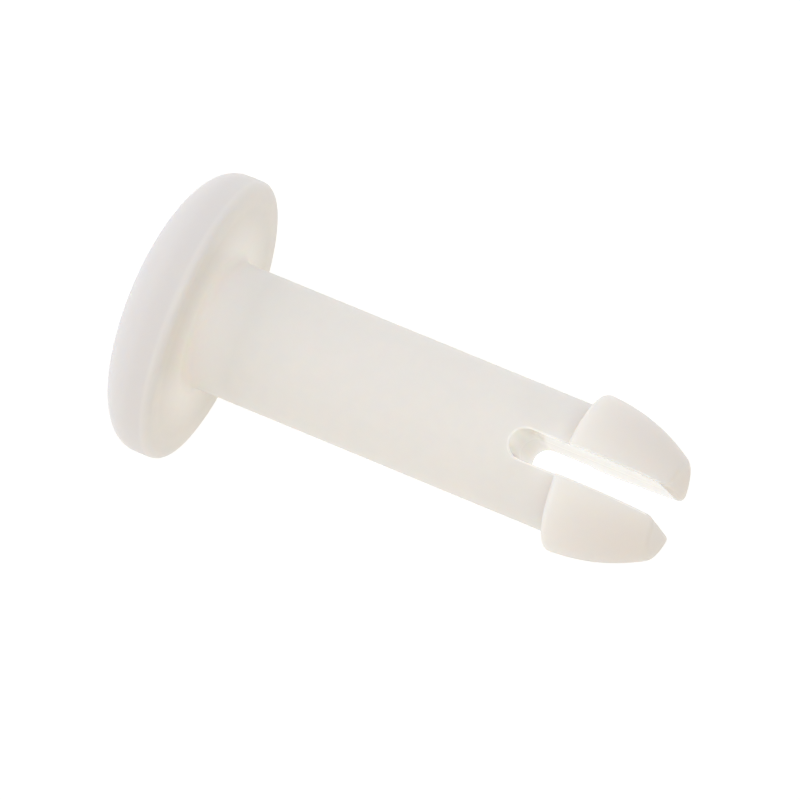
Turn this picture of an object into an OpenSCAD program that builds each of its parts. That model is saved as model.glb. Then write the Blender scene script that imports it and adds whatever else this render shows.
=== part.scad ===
// Split-shank snap rivet, moulded in one piece of natural nylon.
// The origin is the centre of the head's bearing face. +Z runs along the shank to the tip,
// the slot runs right through along Y, and the two prongs stand on its left (-X) and right (+X).
// The one moulding is divided where it works differently: head, shank, two flexing legs and their barbs.

/* [Shank] */
// Diameter of the plain round shank
shank_d = 6.35; // [5:0.05:7]
// Grip, from the head's bearing face to the barbs' shoulders
grip = 18.7; // [15:0.1:30]

/* [Head] */
// Diameter of the head
head_d = 14; // [12:0.5:20]
// Height of the head, from its bearing face to the crown of its dome
head_h = 3.5; // [2.5:0.1:5]
// Height of the straight rim between the bearing face and the dome
rim_h = 1; // [0.6:0.1:1.6]
// Roundness of the dome: 2 is an ellipse, more is flatter on top with a fuller shoulder
dome_power = 2.5; // [2:0.1:4]
// Radius of the rim's edge beside the bearing face
rim_edge_r = 0.45; // [0.1:0.05:0.5]
// Radius of the fillet where the shank grows out of the bearing face
neck_r = 0.5; // [0.1:0.05:0.6]

/* [Snap end] */
// Diameter over the barbs
barb_d = 7.8; // [7.5:0.1:8.6]
// Length of the barbs and nose, from the shoulders to the flat tip
nose_l = 4.95; // [4:0.1:7]
// Diameter of the flat tip
tip_d = 5.2; // [4:0.1:5.5]
// How far the nose's side bulges beyond a straight cone
nose_bulge = 0.3; // [0.1:0.02:0.5]
// Radius of the barbs' outer edge at the shoulders
barb_edge_r = 0.3; // [0.1:0.05:0.4]
// Radius of the edge around the flat tip
tip_edge_r = 0.5; // [0.1:0.05:0.6]

/* [Slot] */
// Width of the slot between the prongs
slot_w = 1.5; // [1:0.1:2]
// How far the slot's round root reaches below the barbs' shoulders
slot_below_barbs = 2.7; // [2:0.1:5]
// Radius of the slot's edges where it opens at the tip
slot_mouth_r = 0.4; // [0.1:0.05:0.5]

/* [Hidden] */
$fn = 96;
tip_z = grip + nose_l;
// Height of the centre of the slot's half-round root, which is also the axis on which the prongs flex
root_z = grip - slot_below_barbs + slot_w / 2;
// How far the nose leans in where it meets the tip's edge: the straight cone's angle and what its bulge adds
cone_in = (barb_d - tip_d) / 2;
cone_up = nose_l - barb_edge_r - tip_edge_r;
nose_lean = atan2(cone_in, cone_up) + atan2(4 * nose_bulge, norm([cone_in, cone_up]));
// Long enough to reach right through the rivet, whichever way
through = 2 * barb_d;
edge_steps = 6;
dome_steps = 28;
nose_steps = 20;
left = -1;
right = 1;
// The rounded edge of the tip, which starts where the nose runs into it
tip_edge = arc(tip_d / 2 - tip_edge_r, tip_z - tip_edge_r, tip_edge_r, nose_lean, 90);

// Points along an arc about (x, z), anticlockwise from one angle to the other
function arc(x, z, r, from, to) = [
    for (i = [0 : edge_steps])
        let (a = from + (to - from) * i / edge_steps)
            [x + r * cos(a), z + r * sin(a)]
];

function quarter(x, z, r, from) = arc(x, z, r, from, from + 90);

function reverse(list) = [for (i = [len(list) - 1 : -1 : 0]) list[i]];

// A superellipse: at 0 degrees it meets the rim, and at 90 degrees the crown
function dome_point(a) =
    [head_d / 2 * pow(cos(a), 2 / dome_power), -rim_h - (head_h - rim_h) * pow(sin(a), 2 / dome_power)];

// A parabolic bulge on the straight line from the barb's edge, at 0, to the start of the tip's edge, at 1
function nose_point(t) =
    let (low = [barb_d / 2, grip + barb_edge_r],
         run = tip_edge[0] - low,
         out = [run.y, -run.x] / norm(run))
    low + run * t + out * 4 * nose_bulge * t * (1 - t);

// The head takes in the filleted neck, so that its bearing face is a ring
module head() {
    color("#DDD8D4")
        rotate_extrude()
            polygon([
                [0, neck_r],
                [0, -head_h],
                for (i = [1 : dome_steps]) dome_point(90 - 90 * i / dome_steps),
                each quarter(head_d / 2 - rim_edge_r, -rim_edge_r, rim_edge_r, 0),
                each reverse(quarter(shank_d / 2 + neck_r, neck_r, neck_r, 180))
            ]);
}

// The plain shank ends level with the centre of the slot's root, which is a half-round groove
module shank() {
    color("#E3E0DB")
        difference() {
            translate([0, 0, neck_r])
                cylinder(d = shank_d, h = root_z - neck_r);
            translate([0, 0, root_z])
                rotate([90, 0, 0])
                    cylinder(d = slot_w, h = through, center = true);
        }
}

// Keeps what lies on one side of the slot, whose wall is rounded off at the tip
module beside_slot(side) {
    wall_x = slot_w / 2;
    outline = [
        [wall_x, root_z],
        [through, root_z],
        [through, tip_z],
        each quarter(wall_x + slot_mouth_r, tip_z - slot_mouth_r, slot_mouth_r, 90)
    ];
    intersection() {
        children();
        rotate([90, 0, 0])
            linear_extrude(height = through, center = true)
                polygon([for (p = outline) [side * p.x, p.y]]);
    }
}

module leg(side) {
    beside_slot(side)
        translate([0, 0, root_z])
            cylinder(d = shank_d, h = grip - root_z);
}

module barb(side) {
    beside_slot(side)
        rotate_extrude()
            polygon([
                [0, tip_z],
                [0, grip],
                each quarter(barb_d / 2 - barb_edge_r, grip + barb_edge_r, barb_edge_r, -90),
                for (i = [1 : nose_steps - 1]) nose_point(i / nose_steps),
                each tip_edge
            ]);
}

module leg_left() {
    color("#E2DFDA") leg(left);
}

module leg_right() {
    color("#DFD9D1") leg(right);
}

module barb_left() {
    color("#E2DFDA") barb(left);
}

module barb_right() {
    color("#DFD9D1") barb(right);
}

head();
shank();
leg_left();
leg_right();
barb_left();
barb_right();
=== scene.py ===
"""Looks for the split-shank snap rivet: one nylon moulding, whose two prongs flex."""
import math

import bmesh
import bpy
from mathutils import Matrix, Vector


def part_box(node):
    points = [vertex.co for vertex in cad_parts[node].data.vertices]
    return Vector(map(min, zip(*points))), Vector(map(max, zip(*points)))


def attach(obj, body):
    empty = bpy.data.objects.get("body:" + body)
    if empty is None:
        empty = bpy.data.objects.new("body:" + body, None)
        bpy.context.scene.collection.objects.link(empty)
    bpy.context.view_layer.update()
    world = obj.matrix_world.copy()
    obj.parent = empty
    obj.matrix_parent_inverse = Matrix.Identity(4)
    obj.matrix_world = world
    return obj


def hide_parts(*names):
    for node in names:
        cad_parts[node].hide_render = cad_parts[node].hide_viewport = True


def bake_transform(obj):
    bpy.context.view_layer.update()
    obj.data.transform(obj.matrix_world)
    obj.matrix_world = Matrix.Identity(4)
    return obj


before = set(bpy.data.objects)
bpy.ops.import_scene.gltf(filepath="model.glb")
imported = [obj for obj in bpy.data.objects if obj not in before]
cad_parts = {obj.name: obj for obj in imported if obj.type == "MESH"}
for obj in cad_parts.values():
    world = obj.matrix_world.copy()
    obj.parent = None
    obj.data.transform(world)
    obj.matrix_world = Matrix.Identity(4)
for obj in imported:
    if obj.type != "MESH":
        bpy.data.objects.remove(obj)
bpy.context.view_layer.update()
MM = 0.001

# ---- the design's sizes in mm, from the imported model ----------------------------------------


def corners(node):
    """The lowest and highest corner of a node's box, in mm."""
    low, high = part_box(node)
    return low / MM, high / MM


head_low, head_high = corners("head")
shank_high = corners("shank")[1]
barb_low, barb_high = corners("barb_right")
HEAD_R = head_high.x
CROWN_Z = head_low.z
NECK_R = head_high.z
SHANK_R = shank_high.x
ROOT_Z = shank_high.z
SHOULDER_Z = barb_low.z
TIP_Z = barb_high.z
BARB_R = barb_high.x
SLOT_HALF = barb_low.x

# The rest of the moulding's outline in mm, which the boxes don't tell
RIM_H = 1.0
DOME_POWER = 2.5
RIM_EDGE_R = 0.45
TIP_R = 2.6
TIP_EDGE_R = 0.5
NOSE_BULGE = 0.3
BARB_EDGE_R = 0.3
SHOULDER_FILLET = 0.1
SLOT_EDGE = 0.1
SLOT_MOUTH_R = 0.4
# The shoulder slopes: its outer edge is this much higher than its foot
SHOULDER_RISE = 0.04

# The right prong came out of the mould slightly turned about its wall's front edge, in degrees at the tip
WARP = 2.2

# The mould's parting line, in mm: a low bead along y = 0, hardly raised on the slot's smooth walls.
# It fades out round the middle of the crown, and its points lie at BEAD_STEPS times its half width
BEAD_H = 0.012
SLOT_BEAD_H = 0.002
BEAD_HALF = 0.09
BEAD_STEPS = (-1.0, -0.55, 0.0, 0.55, 1.0)
BEAD_FADE_R = 1.0

# The prongs' own meshes start a little above the slot's root, where its walls are straight. The hidden ends
# that meet there are dished by a hair, and give back the light that would scatter across in unbroken nylon
SEAM_Z = ROOT_Z + 0.25
END_DISH = 0.03
END_INSET = 0.98

# How smooth the slot's round root is, beside 1 for its flat walls
ROOT_POLISH = 0.8

# Mesh density
ARC_STEPS = 22
GROOVE_STEPS = 24
EDGE_STEPS = 4
WALL_STEPS = 8
DOME_STEPS = 30
NOSE_STEPS = 26
CORNER_STEPS = 6
SHANK_ROWS = 14
TOP_ROWS = 6
SEAM_ROWS = 2
LEG_ROWS = 10
# Places of the rings across the flat bearing face, as shares of its width from the neck outwards
FACE_SHARES = (0.95, 0.5, 0.1)
# Each ring on the flat tip, as a share of the ring outside it
TIP_INSETS = (0.97, 0.6)
# How far below the slot's root the rows round the shank start to follow its curve, in mm
LEVEL_BELOW_ROOT = 0.5
# Edges sharper than this are shaded sharp, in degrees
SHARP_ANGLE = 50


# ---- mesh helpers --------------------------------------------------------------------------


def bead(y, height=BEAD_H):
    """Height of the parting line's bead at a distance y from it."""
    return height * max(0.0, 1 - (y / BEAD_HALF) ** 2)


def half_shares(steps):
    """Shares from -1 to 1 with room in the middle for the bead's own points."""
    return [-1 + i / steps for i in range(steps)], [(i + 1) / steps for i in range(steps)]


def half_span(radius, wall):
    """Half the angle that one side's arc spans, up to the rounded edge of a slot wall at that x."""
    return math.acos((wall + SLOT_EDGE) / radius)


def arc_angles(radius, half_angle):
    """Angles across one side of the round surface, finer at the parting line."""
    inner = [math.asin(min(1.0, BEAD_HALF * b / radius)) for b in BEAD_STEPS]
    before, after = half_shares(ARC_STEPS)
    low = [inner[0] + s * (half_angle + inner[0]) for s in before]
    high = [inner[-1] + s * (half_angle - inner[-1]) for s in after]
    return low + inner + high


def wall_depths(reach):
    """Positions across a slot wall from -reach to reach, finer at the parting line."""
    before, after = half_shares(WALL_STEPS)
    low = [-BEAD_HALF + s * (reach - BEAD_HALF) for s in before]
    high = [BEAD_HALF + s * (reach - BEAD_HALF) for s in after]
    return low + [BEAD_HALF * b for b in BEAD_STEPS] + high


def arc(centre_r, centre_z, radius, start, end):
    """Profile points (r, z) along an arc, anticlockwise from start to end degrees."""
    angles = [math.radians(start + (end - start) * i / CORNER_STEPS) for i in range(CORNER_STEPS + 1)]
    return [(centre_r + radius * math.cos(a), centre_z + radius * math.sin(a)) for a in angles]


def quarter(centre_r, centre_z, radius, start):
    return arc(centre_r, centre_z, radius, start, start + 90)


class Builder:
    """Collects points in mm and faces, and makes them into one object."""

    def __init__(self):
        self.points = []
        self.faces = []
        # Marks points on the slot's smooth walls, which the material also paints with light
        self.polish_and_slot_light = {}
        self.cut_end = {}

    def add(self, x, y, z):
        self.points.append(Vector((x, y, z)))
        return len(self.points) - 1

    def strip(self, row_a, row_b, closed=False):
        """Quads between two rows of point numbers."""
        count = len(row_a)
        for i in range(count if closed else count - 1):
            j = (i + 1) % count
            self.faces.append((row_a[i], row_a[j], row_b[j], row_b[i]))

    def middle(self, ring):
        return sum((self.points[i] for i in ring), Vector()) / len(ring)

    def inset(self, ring, middle, share, rise=0.0):
        """A ring of new points, drawn in from another towards its middle and moved along Z."""
        lift = Vector((0, 0, rise))
        return [self.add(*(middle + (self.points[i] - middle) * share + lift)) for i in ring]

    def make(self, name, mirrored=False):
        """The finished object, in metres, which may be mirrored in the plane x = 0."""
        sign = -1 if mirrored else 1
        mesh = bpy.data.meshes.new(name)
        mesh.from_pydata([(p.x * sign * MM, p.y * MM, p.z * MM) for p in self.points], [], self.faces)
        shell = bmesh.new()
        shell.from_mesh(mesh)
        bmesh.ops.recalc_face_normals(shell, faces=shell.faces)
        shell.to_mesh(mesh)
        shell.free()
        for mark, amounts in (("polish_and_slot_light", self.polish_and_slot_light), ("cut_end", self.cut_end)):
            layer = mesh.attributes.new(mark, "FLOAT", "POINT")
            layer.data.foreach_set("value", [amounts.get(i, 0.0) for i in range(len(self.points))])
        mesh.polygons.foreach_set("use_smooth", [True] * len(mesh.polygons))
        mesh.set_sharp_from_angle(angle=math.radians(SHARP_ANGLE))
        piece = bpy.data.objects.new(name, mesh)
        bpy.context.scene.collection.objects.link(piece)
        return piece


def skin_row(build, angles, radius, heights, normal=(1, 0)):
    """A row of points round the outer skin, raised along its normal (r, z) where the bead runs."""
    row = []
    for a, z in zip(angles, heights):
        up = bead(radius * math.sin(a)) * min(1.0, radius / BEAD_FADE_R)
        r = radius + up * normal[0]
        row.append(build.add(r * math.cos(a), r * math.sin(a), z + up * normal[1]))
    return row


def rounded_corner(build, outer, sharp, inner):
    """Adds the points strictly between outer and inner, rounding off the sharp corner."""
    row = []
    for i in range(1, EDGE_STEPS):
        t = i / EDGE_STEPS
        row.append(build.add(*(outer * (1 - t) ** 2 + sharp * 2 * t * (1 - t) + inner * t ** 2)))
    return row


def wall_row(build, back, front, x, z, radius, normal=(-1, 0)):
    """Points across a slot wall at (x, z), between two points of the round skin, behind and in front.

    The normal is the wall's own, as (x, z).
    """
    depth = math.sqrt(radius ** 2 - x ** 2)
    reach = depth - SLOT_EDGE
    row = rounded_corner(build, build.points[back], Vector((x, depth, z)), Vector((x, reach, z)))
    for y in reversed(wall_depths(reach)):
        up = bead(y, SLOT_BEAD_H)
        row.append(build.add(x + normal[0] * up, y, z + normal[1] * up))
    row += rounded_corner(build, build.points[front], Vector((x, -depth, z)), Vector((x, -reach, z)))[::-1]
    return row


def dished_end(build, ring, dish):
    """Closes the cut end inside a ring with a face set back along Z."""
    inner = build.inset(ring, build.middle(ring), END_INSET, dish)
    build.strip(ring, inner, closed=True)
    build.faces.append(tuple(inner))
    build.cut_end.update(dict.fromkeys(inner, 1.0))


# ---- the head and shank --------------------------------------------------------------------


def head_profile():
    """(r, z) from beside the crown, over the rim and bearing face, to the foot of the shank."""
    points = []
    for i in range(1, DOME_STEPS + 1):
        a = math.radians(90 * (1 - i / DOME_STEPS))
        drop = (-CROWN_Z - RIM_H) * math.sin(a) ** (2 / DOME_POWER)
        points.append((HEAD_R * math.cos(a) ** (2 / DOME_POWER), -RIM_H - drop))
    points.append((HEAD_R, (-RIM_H - RIM_EDGE_R) / 2))
    points += quarter(HEAD_R - RIM_EDGE_R, -RIM_EDGE_R, RIM_EDGE_R, 0)
    neck_foot = SHANK_R + NECK_R
    face_width = HEAD_R - RIM_EDGE_R - neck_foot
    points += [(neck_foot + face_width * share, 0) for share in FACE_SHARES]
    points += quarter(neck_foot, NECK_R, NECK_R, 180)[::-1]
    return points


def profile_normals(points):
    """Outward normals of a profile that runs from the crown up the outside."""
    normals = []
    for i in range(len(points)):
        before = points[max(i - 1, 0)]
        after = points[min(i + 1, len(points) - 1)]
        run = Vector((after[0] - before[0], after[1] - before[1])).normalized()
        normals.append((run.y, -run.x))
    return normals


def round_rows(build, angles, tops):
    """Rows round the whole skin, from the crown up to the given tops on each side of the slot's root."""
    profile = head_profile()
    rows = []
    for (r, z), normal in zip(profile, profile_normals(profile)):
        rows.append(skin_row(build, angles, r, [z] * len(angles), normal))
    level_top = min(tops) - LEVEL_BELOW_ROOT
    for i in range(1, SHANK_ROWS + 1):
        z = NECK_R + (level_top - NECK_R) * i / SHANK_ROWS
        rows.append(skin_row(build, angles, SHANK_R, [z] * len(angles)))
    for i in range(1, TOP_ROWS + 1):
        heights = [level_top + (top - level_top) * i / TOP_ROWS for top in tops]
        rows.append(skin_row(build, angles, SHANK_R, heights))
    return rows


def leg_foot(build, angles, lowest):
    """Rows up the foot of one leg, from its lowest row to the seam."""
    rows = [lowest]
    for i in range(1, SEAM_ROWS + 1):
        z = ROOT_Z + (SEAM_Z - ROOT_Z) * i / SEAM_ROWS
        rows.append(skin_row(build, angles, SHANK_R, [z] * len(angles)))
        build.strip(rows[-2], rows[-1])
    return rows


def polished_row(build, back, front, x, z, normal):
    """A wall row together with the two points of the skin that it joins, its own points polished."""
    row = wall_row(build, back, front, x, z, SHANK_R, normal)
    build.polish_and_slot_light.update(dict.fromkeys(row, 1.0 if z > ROOT_Z else ROOT_POLISH))
    return [back] + row + [front]


def build_head_and_shank():
    build = Builder()
    mouth = SLOT_HALF + SLOT_EDGE
    side = arc_angles(SHANK_R, half_span(SHANK_R, SLOT_HALF))
    far_side = [math.pi + a for a in side]
    turns = [math.pi * i / GROOVE_STEPS for i in range(1, GROOVE_STEPS)]
    behind = [math.acos(mouth * math.cos(t) / SHANK_R) for t in turns]
    angles = side + behind + far_side + [math.pi + a for a in behind]
    groove_tops = [ROOT_Z - mouth * math.sin(t) for t in turns]
    side_tops = [ROOT_Z] * len(side)
    rows = round_rows(build, angles, side_tops + groove_tops + side_tops + groove_tops)
    for low, high in zip(rows, rows[1:]):
        build.strip(low, high, closed=True)
    crown = build.add(0, 0, CROWN_Z)
    count = len(angles)
    build.faces += [(rows[0][i], crown, rows[0][(i + 1) % count]) for i in range(count)]

    # The top row's stretches: right leg, slot mouth behind, left leg, slot mouth in front
    far_start = len(side) + len(behind)
    far_end = far_start + len(side)
    right_leg = leg_foot(build, side, rows[-1][:len(side)])
    back_rim = rows[-1][len(side):far_start]
    left_leg = leg_foot(build, far_side, rows[-1][far_start:far_end])
    front_rim = rows[-1][far_end:][::-1]

    # The slot's wall, from the top of the right leg, round the root, to the top of the left leg
    walls = []
    for row in right_leg[::-1]:
        walls.append(polished_row(build, row[-1], row[0], SLOT_HALF, build.points[row[0]].z, (-1, 0)))
    for t, back, front in zip(turns, back_rim, front_rim):
        x, z = SLOT_HALF * math.cos(t), ROOT_Z - SLOT_HALF * math.sin(t)
        walls.append(polished_row(build, back, front, x, z, (-math.cos(t), math.sin(t))))
    for row in left_leg:
        walls.append(polished_row(build, row[0], row[-1], -SLOT_HALF, build.points[row[0]].z, (1, 0)))
    for a, b in zip(walls, walls[1:]):
        build.strip(a, b)
    dished_end(build, right_leg[-1] + walls[0][1:-1], -END_DISH)
    dished_end(build, left_leg[-1] + walls[-1][::-1][1:-1], -END_DISH)
    return build.make("head_and_shank")


# ---- the prongs ----------------------------------------------------------------------------


def wall_x(z):
    """The slot wall's distance from the middle, with its end at the tip rounded off."""
    into = max(0.0, z - (TIP_Z - SLOT_MOUTH_R)) / SLOT_MOUTH_R
    return SLOT_HALF + SLOT_MOUTH_R * (1 - math.sqrt(max(0.0, 1 - into ** 2)))


def warped(point):
    """Where the right prong's slight warp takes a point of the straight one."""
    share = max(0.0, (point.z - SEAM_Z) / (TIP_Z - SEAM_Z))
    turn = Matrix.Rotation(math.radians(-WARP) * share ** 2, 3, "Z")
    edge = Vector((SLOT_HALF, -math.sqrt(SHANK_R ** 2 - SLOT_HALF ** 2), 0))
    return edge + turn @ (point - edge)


def prong_profile():
    """(r, z) of the outer skin, from the seam over the shoulder and nose to the flat tip."""
    leg_top = SHOULDER_Z - SHOULDER_FILLET
    points = [(SHANK_R, SEAM_Z + (leg_top - SEAM_Z) * i / LEG_ROWS) for i in range(LEG_ROWS)]
    points += quarter(SHANK_R + SHOULDER_FILLET, leg_top, SHOULDER_FILLET, 90)[::-1]
    edge_z = SHOULDER_Z + SHOULDER_RISE + BARB_EDGE_R
    points += quarter(BARB_R - BARB_EDGE_R, edge_z, BARB_EDGE_R, -90)
    cone_in, cone_up = BARB_R - TIP_R, TIP_Z - TIP_EDGE_R - edge_z
    lean = math.atan2(cone_in, cone_up) + math.atan2(4 * NOSE_BULGE, math.hypot(cone_in, cone_up))
    tip_edge = arc(TIP_R - TIP_EDGE_R, TIP_Z - TIP_EDGE_R, TIP_EDGE_R, math.degrees(lean), 90)
    low = Vector((BARB_R, edge_z))
    run = Vector(tip_edge[0]) - low
    out = Vector((run.y, -run.x)).normalized()
    for i in range(1, NOSE_STEPS):
        t = i / NOSE_STEPS
        points.append(tuple(low + run * t + out * 4 * NOSE_BULGE * t * (1 - t)))
    return points + tip_edge


def prong_ring(build, radius, z):
    """One level of a prong: round its outer skin, then back across its slot wall."""
    x = wall_x(z)
    angles = arc_angles(radius, half_span(radius, x))
    skin = skin_row(build, angles, radius, [z] * len(angles))
    wall = wall_row(build, skin[-1], skin[0], x, z, radius)
    if z < TIP_Z - SLOT_MOUTH_R:
        build.polish_and_slot_light.update(dict.fromkeys(wall, 1.0))
    return skin + wall


def build_prong(name, mirrored):
    build = Builder()
    rings = [prong_ring(build, r, z) for r, z in prong_profile()]
    middle = build.middle(rings[-1])
    for share in TIP_INSETS:
        rings.append(build.inset(rings[-1], middle, share))
    for low, high in zip(rings, rings[1:]):
        build.strip(low, high, closed=True)
    build.faces.append(tuple(rings[-1]))
    dished_end(build, rings[0], END_DISH)
    if not mirrored:
        build.points = [warped(p) for p in build.points]
    return build.make(name, mirrored)


# ---- node helpers --------------------------------------------------------------------------

# A Mix node has several sockets of each name: these are the ones for colours
MIX_A, MIX_B, MIX_RESULT = 6, 7, 2


def opaque(colour):
    return (*colour, 1)


class Nodes:
    """Short names for building a tree of nodes, which take outputs of other nodes or plain values."""

    def __init__(self, tree):
        self.tree = tree

    def add(self, kind, **settings):
        node = self.tree.nodes.new(kind)
        for key, value in settings.items():
            setattr(node, key, value)
        return node

    def feed(self, source, socket):
        """Links an output to a socket, or gives the socket a plain value."""
        if isinstance(source, bpy.types.NodeSocket):
            self.tree.links.new(source, socket)
        else:
            socket.default_value = source

    def math(self, operation, *terms):
        node = self.add("ShaderNodeMath", operation=operation)
        for term, socket in zip(terms, node.inputs):
            self.feed(term, socket)
        return node.outputs["Value"]

    def vector_math(self, operation, *terms):
        node = self.add("ShaderNodeVectorMath", operation=operation)
        for term, socket in zip(terms, node.inputs):
            self.feed(term, socket)
        return node.outputs["Vector"]

    def scaled(self, vector, factor):
        node = self.add("ShaderNodeVectorMath", operation="SCALE")
        self.feed(vector, node.inputs["Vector"])
        self.feed(factor, node.inputs["Scale"])
        return node.outputs["Vector"]

    def length(self, vector):
        node = self.add("ShaderNodeVectorMath", operation="LENGTH")
        self.feed(vector, node.inputs["Vector"])
        return node.outputs["Value"]

    def parts(self, vector):
        """The outputs X, Y and Z of a vector."""
        node = self.add("ShaderNodeSeparateXYZ")
        self.feed(vector, node.inputs["Vector"])
        return node.outputs

    def spread(self, value, low, high, from_low=0.0, from_high=1.0):
        """Runs from low to high as the value goes from from_low to from_high."""
        node = self.add("ShaderNodeMapRange")
        for socket, source in (("Value", value), ("From Min", from_low), ("From Max", from_high),
                               ("To Min", low), ("To Max", high)):
            self.feed(source, node.inputs[socket])
        return node.outputs["Result"]

    def mix(self, share, colour_a, colour_b):
        node = self.add("ShaderNodeMix", data_type="RGBA")
        self.feed(share, node.inputs["Factor"])
        for socket, colour in ((node.inputs[MIX_A], colour_a), (node.inputs[MIX_B], colour_b)):
            self.feed(opaque(colour) if isinstance(colour, tuple) else colour, socket)
        return node.outputs[MIX_RESULT]


class Shader(Nodes):
    """A material's nodes, around one Principled BSDF."""

    def __init__(self, name):
        self.material = bpy.data.materials.new(name)
        self.material.use_nodes = True
        super().__init__(self.material.node_tree)
        self.skin = self.tree.nodes["Principled BSDF"].inputs
        self.place = self.add("ShaderNodeTexCoord").outputs["Object"]

    def noise(self, scale, detail):
        node = self.add("ShaderNodeTexNoise")
        self.feed(self.place, node.inputs["Vector"])
        self.feed(scale, node.inputs["Scale"])
        self.feed(detail, node.inputs["Detail"])
        return node.outputs["Fac"]

    def attribute(self, name):
        return self.add("ShaderNodeAttribute", attribute_name=name).outputs["Fac"]

    def bump(self, height, distance, strength, under=None):
        node = self.add("ShaderNodeBump")
        self.feed(height, node.inputs["Height"])
        self.feed(distance, node.inputs["Distance"])
        self.feed(strength, node.inputs["Strength"])
        if under is not None:
            self.feed(under, node.inputs["Normal"])
        return node.outputs["Normal"]


# ---- materials -----------------------------------------------------------------------------

NYLON_PALE = (0.80, 0.785, 0.765)
NYLON_MILKY = (0.785, 0.775, 0.76)
# Painted light: whiter in the slot, lifting the shade between its walls
NYLON_LIT_IN_SLOT = (0.98, 0.965, 0.925)
# Painted shade: darker in the dome and rim, against the light that the bright floor throws on them
NYLON_SHADED_IN_HEAD = (0.69, 0.68, 0.69)
# Painted light: paler round the neck, filling the shade in the corner of shank and bearing face
NYLON_LIT_AT_NECK = (0.93, 0.918, 0.908)
# Painted shade: darker and warmer towards the tip, for the warm light that comes through the prongs
NYLON_SHADED_AT_TIP = (0.765, 0.735, 0.72)
BLACK = (0.0, 0.0, 0.0)
WHITE = (1.0, 1.0, 1.0)
# Where one colour gives way to the next, in metres up the rivet or out from its axis
HEAD_FADE = (-0.0005, 0.0)
RIM_FADE = (0.0060, 0.0074)
NECK_FADE = (0.0, 0.0022)
FACE_FADE = (0.0036, 0.0056)
TIP_FADE = (0.017, 0.0235)
# How deep red, green and blue light scatters, in metres, and how near the seam it fades out
NYLON_DEPTH = (0.0024, 0.0020, 0.0016)
SEAM_FADE = (0.0, 0.0024)
# What the hidden ends at the seam give back
END_GLOW = (1.0, 0.97, 0.92)
END_STRENGTH = 0.97
NYLON_IOR = 1.53
# The roughness of the satin skin, which varies, and of the slot's walls, and how strong their bumps are
SATIN = (0.34, 0.48)
POLISHED = 0.06
GRAIN = 0.35
GRAIN_IN_SLOT = 0.03
# Noises as (scale per metre, detail), and the height in metres of those that are bumps
CLOUD_NOISE = (1400, 4)
CLOUD_RANGE = (0.3, 0.7)
SATIN_NOISE = (2600, 4)
WAVE_NOISE = (420, 2)
WAVE_H = 0.00006
GRAIN_NOISE = (9000, 3)
GRAIN_H = 0.000012

FLOOR_GREY = (0.35, 0.35, 0.35)
FLOOR_ROUGHNESS = 0.9
FLOOR_GLOW = 0.785


def nylon_colour(shader, height, polish_and_slot_light):
    """Cloudy and pale, with painted shade that darkens the head and darkens and warms the tip, and painted
    light that lifts the neck and whitens the slot.
    """
    radius = shader.length(shader.vector_math("MULTIPLY", shader.place, (1, 1, 0)))
    cloud = shader.spread(shader.noise(*CLOUD_NOISE), 0.0, 1.0, *CLOUD_RANGE)
    colour = shader.mix(cloud, NYLON_PALE, NYLON_MILKY)
    # Painted light round the neck, filling the shade in its corner
    up_the_shank = shader.spread(height, 1.0, 0.0, *NECK_FADE)
    neck_painted_light = shader.spread(radius, up_the_shank, 0.0, *FACE_FADE)
    colour = shader.mix(neck_painted_light, colour, NYLON_LIT_AT_NECK)
    # Painted shade in the dome and rim
    dome_painted_shade = shader.spread(height, 1.0, 0.0, *HEAD_FADE)
    rim_painted_shade = shader.spread(radius, 0.0, 1.0, *RIM_FADE)
    colour = shader.mix(shader.math("MAXIMUM", dome_painted_shade, rim_painted_shade), colour, NYLON_SHADED_IN_HEAD)
    # Painted shade, darker and warmer towards the tip
    tip_painted_shade = shader.spread(height, 0.0, 1.0, *TIP_FADE)
    colour = shader.mix(tip_painted_shade, colour, NYLON_SHADED_AT_TIP)
    # Painted light in the slot: whiter on its smooth walls and round root
    slot_painted_light = shader.spread(polish_and_slot_light, 0.0, 1.0, 0.0, ROOT_POLISH)
    return shader.mix(slot_painted_light, colour, NYLON_LIT_IN_SLOT)


def natural_nylon():
    """Milky, slightly translucent moulded nylon, with a satin skin that is smooth in the slot."""
    shader = Shader("natural_nylon")
    skin = shader.skin
    # Marks the slot's smooth walls: low roughness there, and painted light in their colour
    polish_and_slot_light = shader.attribute("polish_and_slot_light")
    cut_end = shader.attribute("cut_end")
    height = shader.parts(shader.place)["Z"]
    shader.feed(shader.mix(cut_end, nylon_colour(shader, height, polish_and_slot_light), BLACK), skin["Base Color"])
    shader.feed(opaque(END_GLOW), skin["Emission Color"])
    shader.feed(shader.spread(cut_end, 0.0, END_STRENGTH), skin["Emission Strength"])
    satin = shader.spread(shader.noise(*SATIN_NOISE), *SATIN)
    shader.feed(shader.spread(polish_and_slot_light, satin, POLISHED), skin["Roughness"])
    strength = shader.spread(polish_and_slot_light, GRAIN, GRAIN_IN_SLOT)
    waves = shader.bump(shader.noise(*WAVE_NOISE), WAVE_H, strength)
    shader.feed(shader.bump(shader.noise(*GRAIN_NOISE), GRAIN_H, strength, waves), skin["Normal"])
    skin["IOR"].default_value = NYLON_IOR
    skin["Subsurface Radius"].default_value = NYLON_DEPTH
    skin["Subsurface Weight"].default_value = 1.0
    from_seam = shader.math("ABSOLUTE", shader.math("SUBTRACT", height, SEAM_Z * MM))
    shader.feed(shader.spread(from_seam, 0.0, 1.0, *SEAM_FADE), skin["Subsurface Scale"])
    return shader.material


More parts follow.
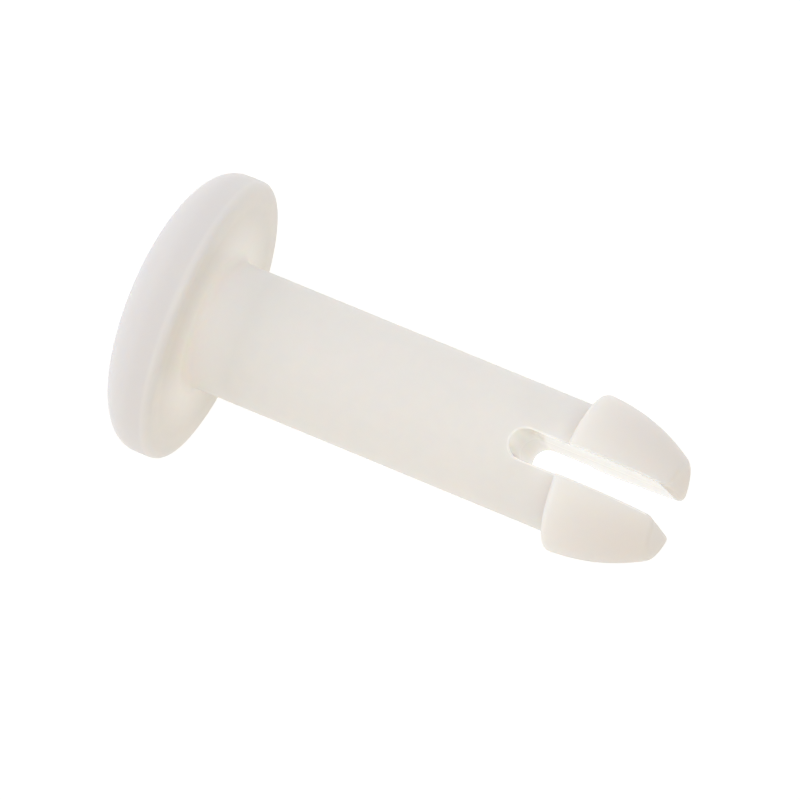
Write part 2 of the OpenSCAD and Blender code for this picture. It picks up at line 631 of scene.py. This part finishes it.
def floor_finish():
    """A plain pale table that is faintly lit from below, so that it stays near white."""
    shader = Shader("pale_floor")
    shader.feed(opaque(FLOOR_GREY), shader.skin["Base Color"])
    shader.feed(FLOOR_ROUGHNESS, shader.skin["Roughness"])
    shader.feed(opaque(WHITE), shader.skin["Emission Color"])
    shader.feed(FLOOR_GLOW, shader.skin["Emission Strength"])
    return shader.material


# ---- the studio ----------------------------------------------------------------------------

# Light bounces to and fro between the slot's pale walls before it is spent
SLOT_BOUNCES = 12
# The table, in metres
FLOOR_R = 1.1
FLOOR_SIDES = 96
SWEEP_WIDTH = 0.05
SWEEP_HEIGHT = 0.06
# The sky's colour towards the low and high end of each axis
SKY_WALLS = {
    "X": ((0.68, 0.69, 0.70), (0.86, 0.79, 0.66)),
    "Y": ((0.65, 0.66, 0.66), (1.16, 1.14, 1.09)),
    "Z": ((0.3, 0.3, 0.3), (0.41, 0.37, 0.31)),
}
# The key lamp, a round softbox: where it stands in degrees and metres, and its diameter, watts and colour
KEY_AZIMUTH = -4
KEY_ELEVATION = 42
KEY_DISTANCE = 0.6
KEY_SIZE = 0.3
KEY_POWER = 0.72
KEY_COLOUR = (1.0, 0.985, 0.97)
# The camera as a photographer would set it: half a metre away with a long lens
CAMERA_AZIMUTH = 5.05
CAMERA_ELEVATION = 13.87
CAMERA_ROLL = 112.36
CAMERA_DISTANCE = 0.5056
CAMERA_LENS = 487.4
CAMERA_SENSOR = 36
CAMERA_CLIP = (0.01, 20)
AIM = Vector((0.00005, -0.00008, 0.00972))


def direction(azimuth, elevation):
    """From the object towards a viewer or lamp there; azimuth 0 is in front, at -Y."""
    a, e = math.radians(azimuth), math.radians(elevation)
    return Vector((math.sin(a) * math.cos(e), -math.cos(a) * math.cos(e), math.sin(e)))


def make_camera():
    data = bpy.data.cameras.new("camera")
    data.sensor_width = CAMERA_SENSOR
    data.lens = CAMERA_LENS
    data.clip_start, data.clip_end = CAMERA_CLIP
    camera = bpy.data.objects.new("camera", data)
    bpy.context.scene.collection.objects.link(camera)
    back = direction(CAMERA_AZIMUTH, CAMERA_ELEVATION)
    level = (-back).to_track_quat("-Z", "Y").to_matrix()
    roll = Matrix.Rotation(math.radians(CAMERA_ROLL), 3, "Z")
    stand = AIM + back * CAMERA_DISTANCE
    camera.matrix_world = Matrix.LocRotScale(stand, (level @ roll).to_quaternion(), None)
    bpy.context.scene.camera = camera


def make_key_lamp():
    data = bpy.data.lights.new("key", "AREA")
    data.shape = "DISK"
    data.size = KEY_SIZE
    data.energy = KEY_POWER
    data.color = KEY_COLOUR
    lamp = bpy.data.objects.new("key", data)
    bpy.context.scene.collection.objects.link(lamp)
    towards = direction(KEY_AZIMUTH, KEY_ELEVATION)
    stand = AIM + towards * KEY_DISTANCE
    lamp.matrix_world = Matrix.LocRotScale(stand, towards.to_track_quat("Z", "Y"), None)


def make_sky():
    """Soft walls of their own colour on each side, blending smoothly into each other."""
    world = bpy.data.worlds.new("studio")
    world.use_nodes = True
    sky = Nodes(world.node_tree)
    towards = sky.parts(sky.add("ShaderNodeTexCoord").outputs["Generated"])
    total = (0.0, 0.0, 0.0)
    for axis, (low, high) in SKY_WALLS.items():
        wall = sky.mix(sky.math("GREATER_THAN", towards[axis], 0.0), low, high)
        share = sky.math("MULTIPLY", towards[axis], towards[axis])
        total = sky.vector_math("ADD", sky.scaled(wall, share), total)
    sky.feed(total, sky.tree.nodes["Background"].inputs["Color"])
    return world


def make_floor():
    """A plain round table under the crown, whose rim sweeps up to keep the horizon out of low views."""
    z = CROWN_Z * MM
    points = []
    for radius, height in ((FLOOR_R, z), (FLOOR_R + SWEEP_WIDTH, z + SWEEP_HEIGHT)):
        for i in range(FLOOR_SIDES):
            turn = 2 * math.pi * i / FLOOR_SIDES
            points.append((radius * math.cos(turn), radius * math.sin(turn), height))
    faces = [tuple(range(FLOOR_SIDES))]
    for i in range(FLOOR_SIDES):
        j = (i + 1) % FLOOR_SIDES
        faces.append((i, j, j + FLOOR_SIDES, i + FLOOR_SIDES))
    mesh = bpy.data.meshes.new("floor")
    mesh.from_pydata(points, [], faces)
    mesh.materials.append(floor_finish())
    floor = bpy.data.objects.new("floor", mesh)
    bpy.context.scene.collection.objects.link(floor)


def make_studio():
    scene = bpy.context.scene
    scene.view_settings.view_transform = "Standard"
    scene.cycles.diffuse_bounces = SLOT_BOUNCES
    scene.world = make_sky()
    make_floor()
    make_key_lamp()


# ---- putting it together -------------------------------------------------------------------

make_camera()
make_studio()
nylon = natural_nylon()

base = build_head_and_shank()
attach(base, "base")
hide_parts("head", "shank")

prong_left = build_prong("prong_skin_left", mirrored=True)
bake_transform(prong_left)
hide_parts("leg_left", "barb_left")
prong_right = build_prong("prong_skin_right", mirrored=False)
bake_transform(prong_right)
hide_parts("leg_right", "barb_right")

for piece in (base, prong_left, prong_right):
    piece.data.materials.append(nylon)
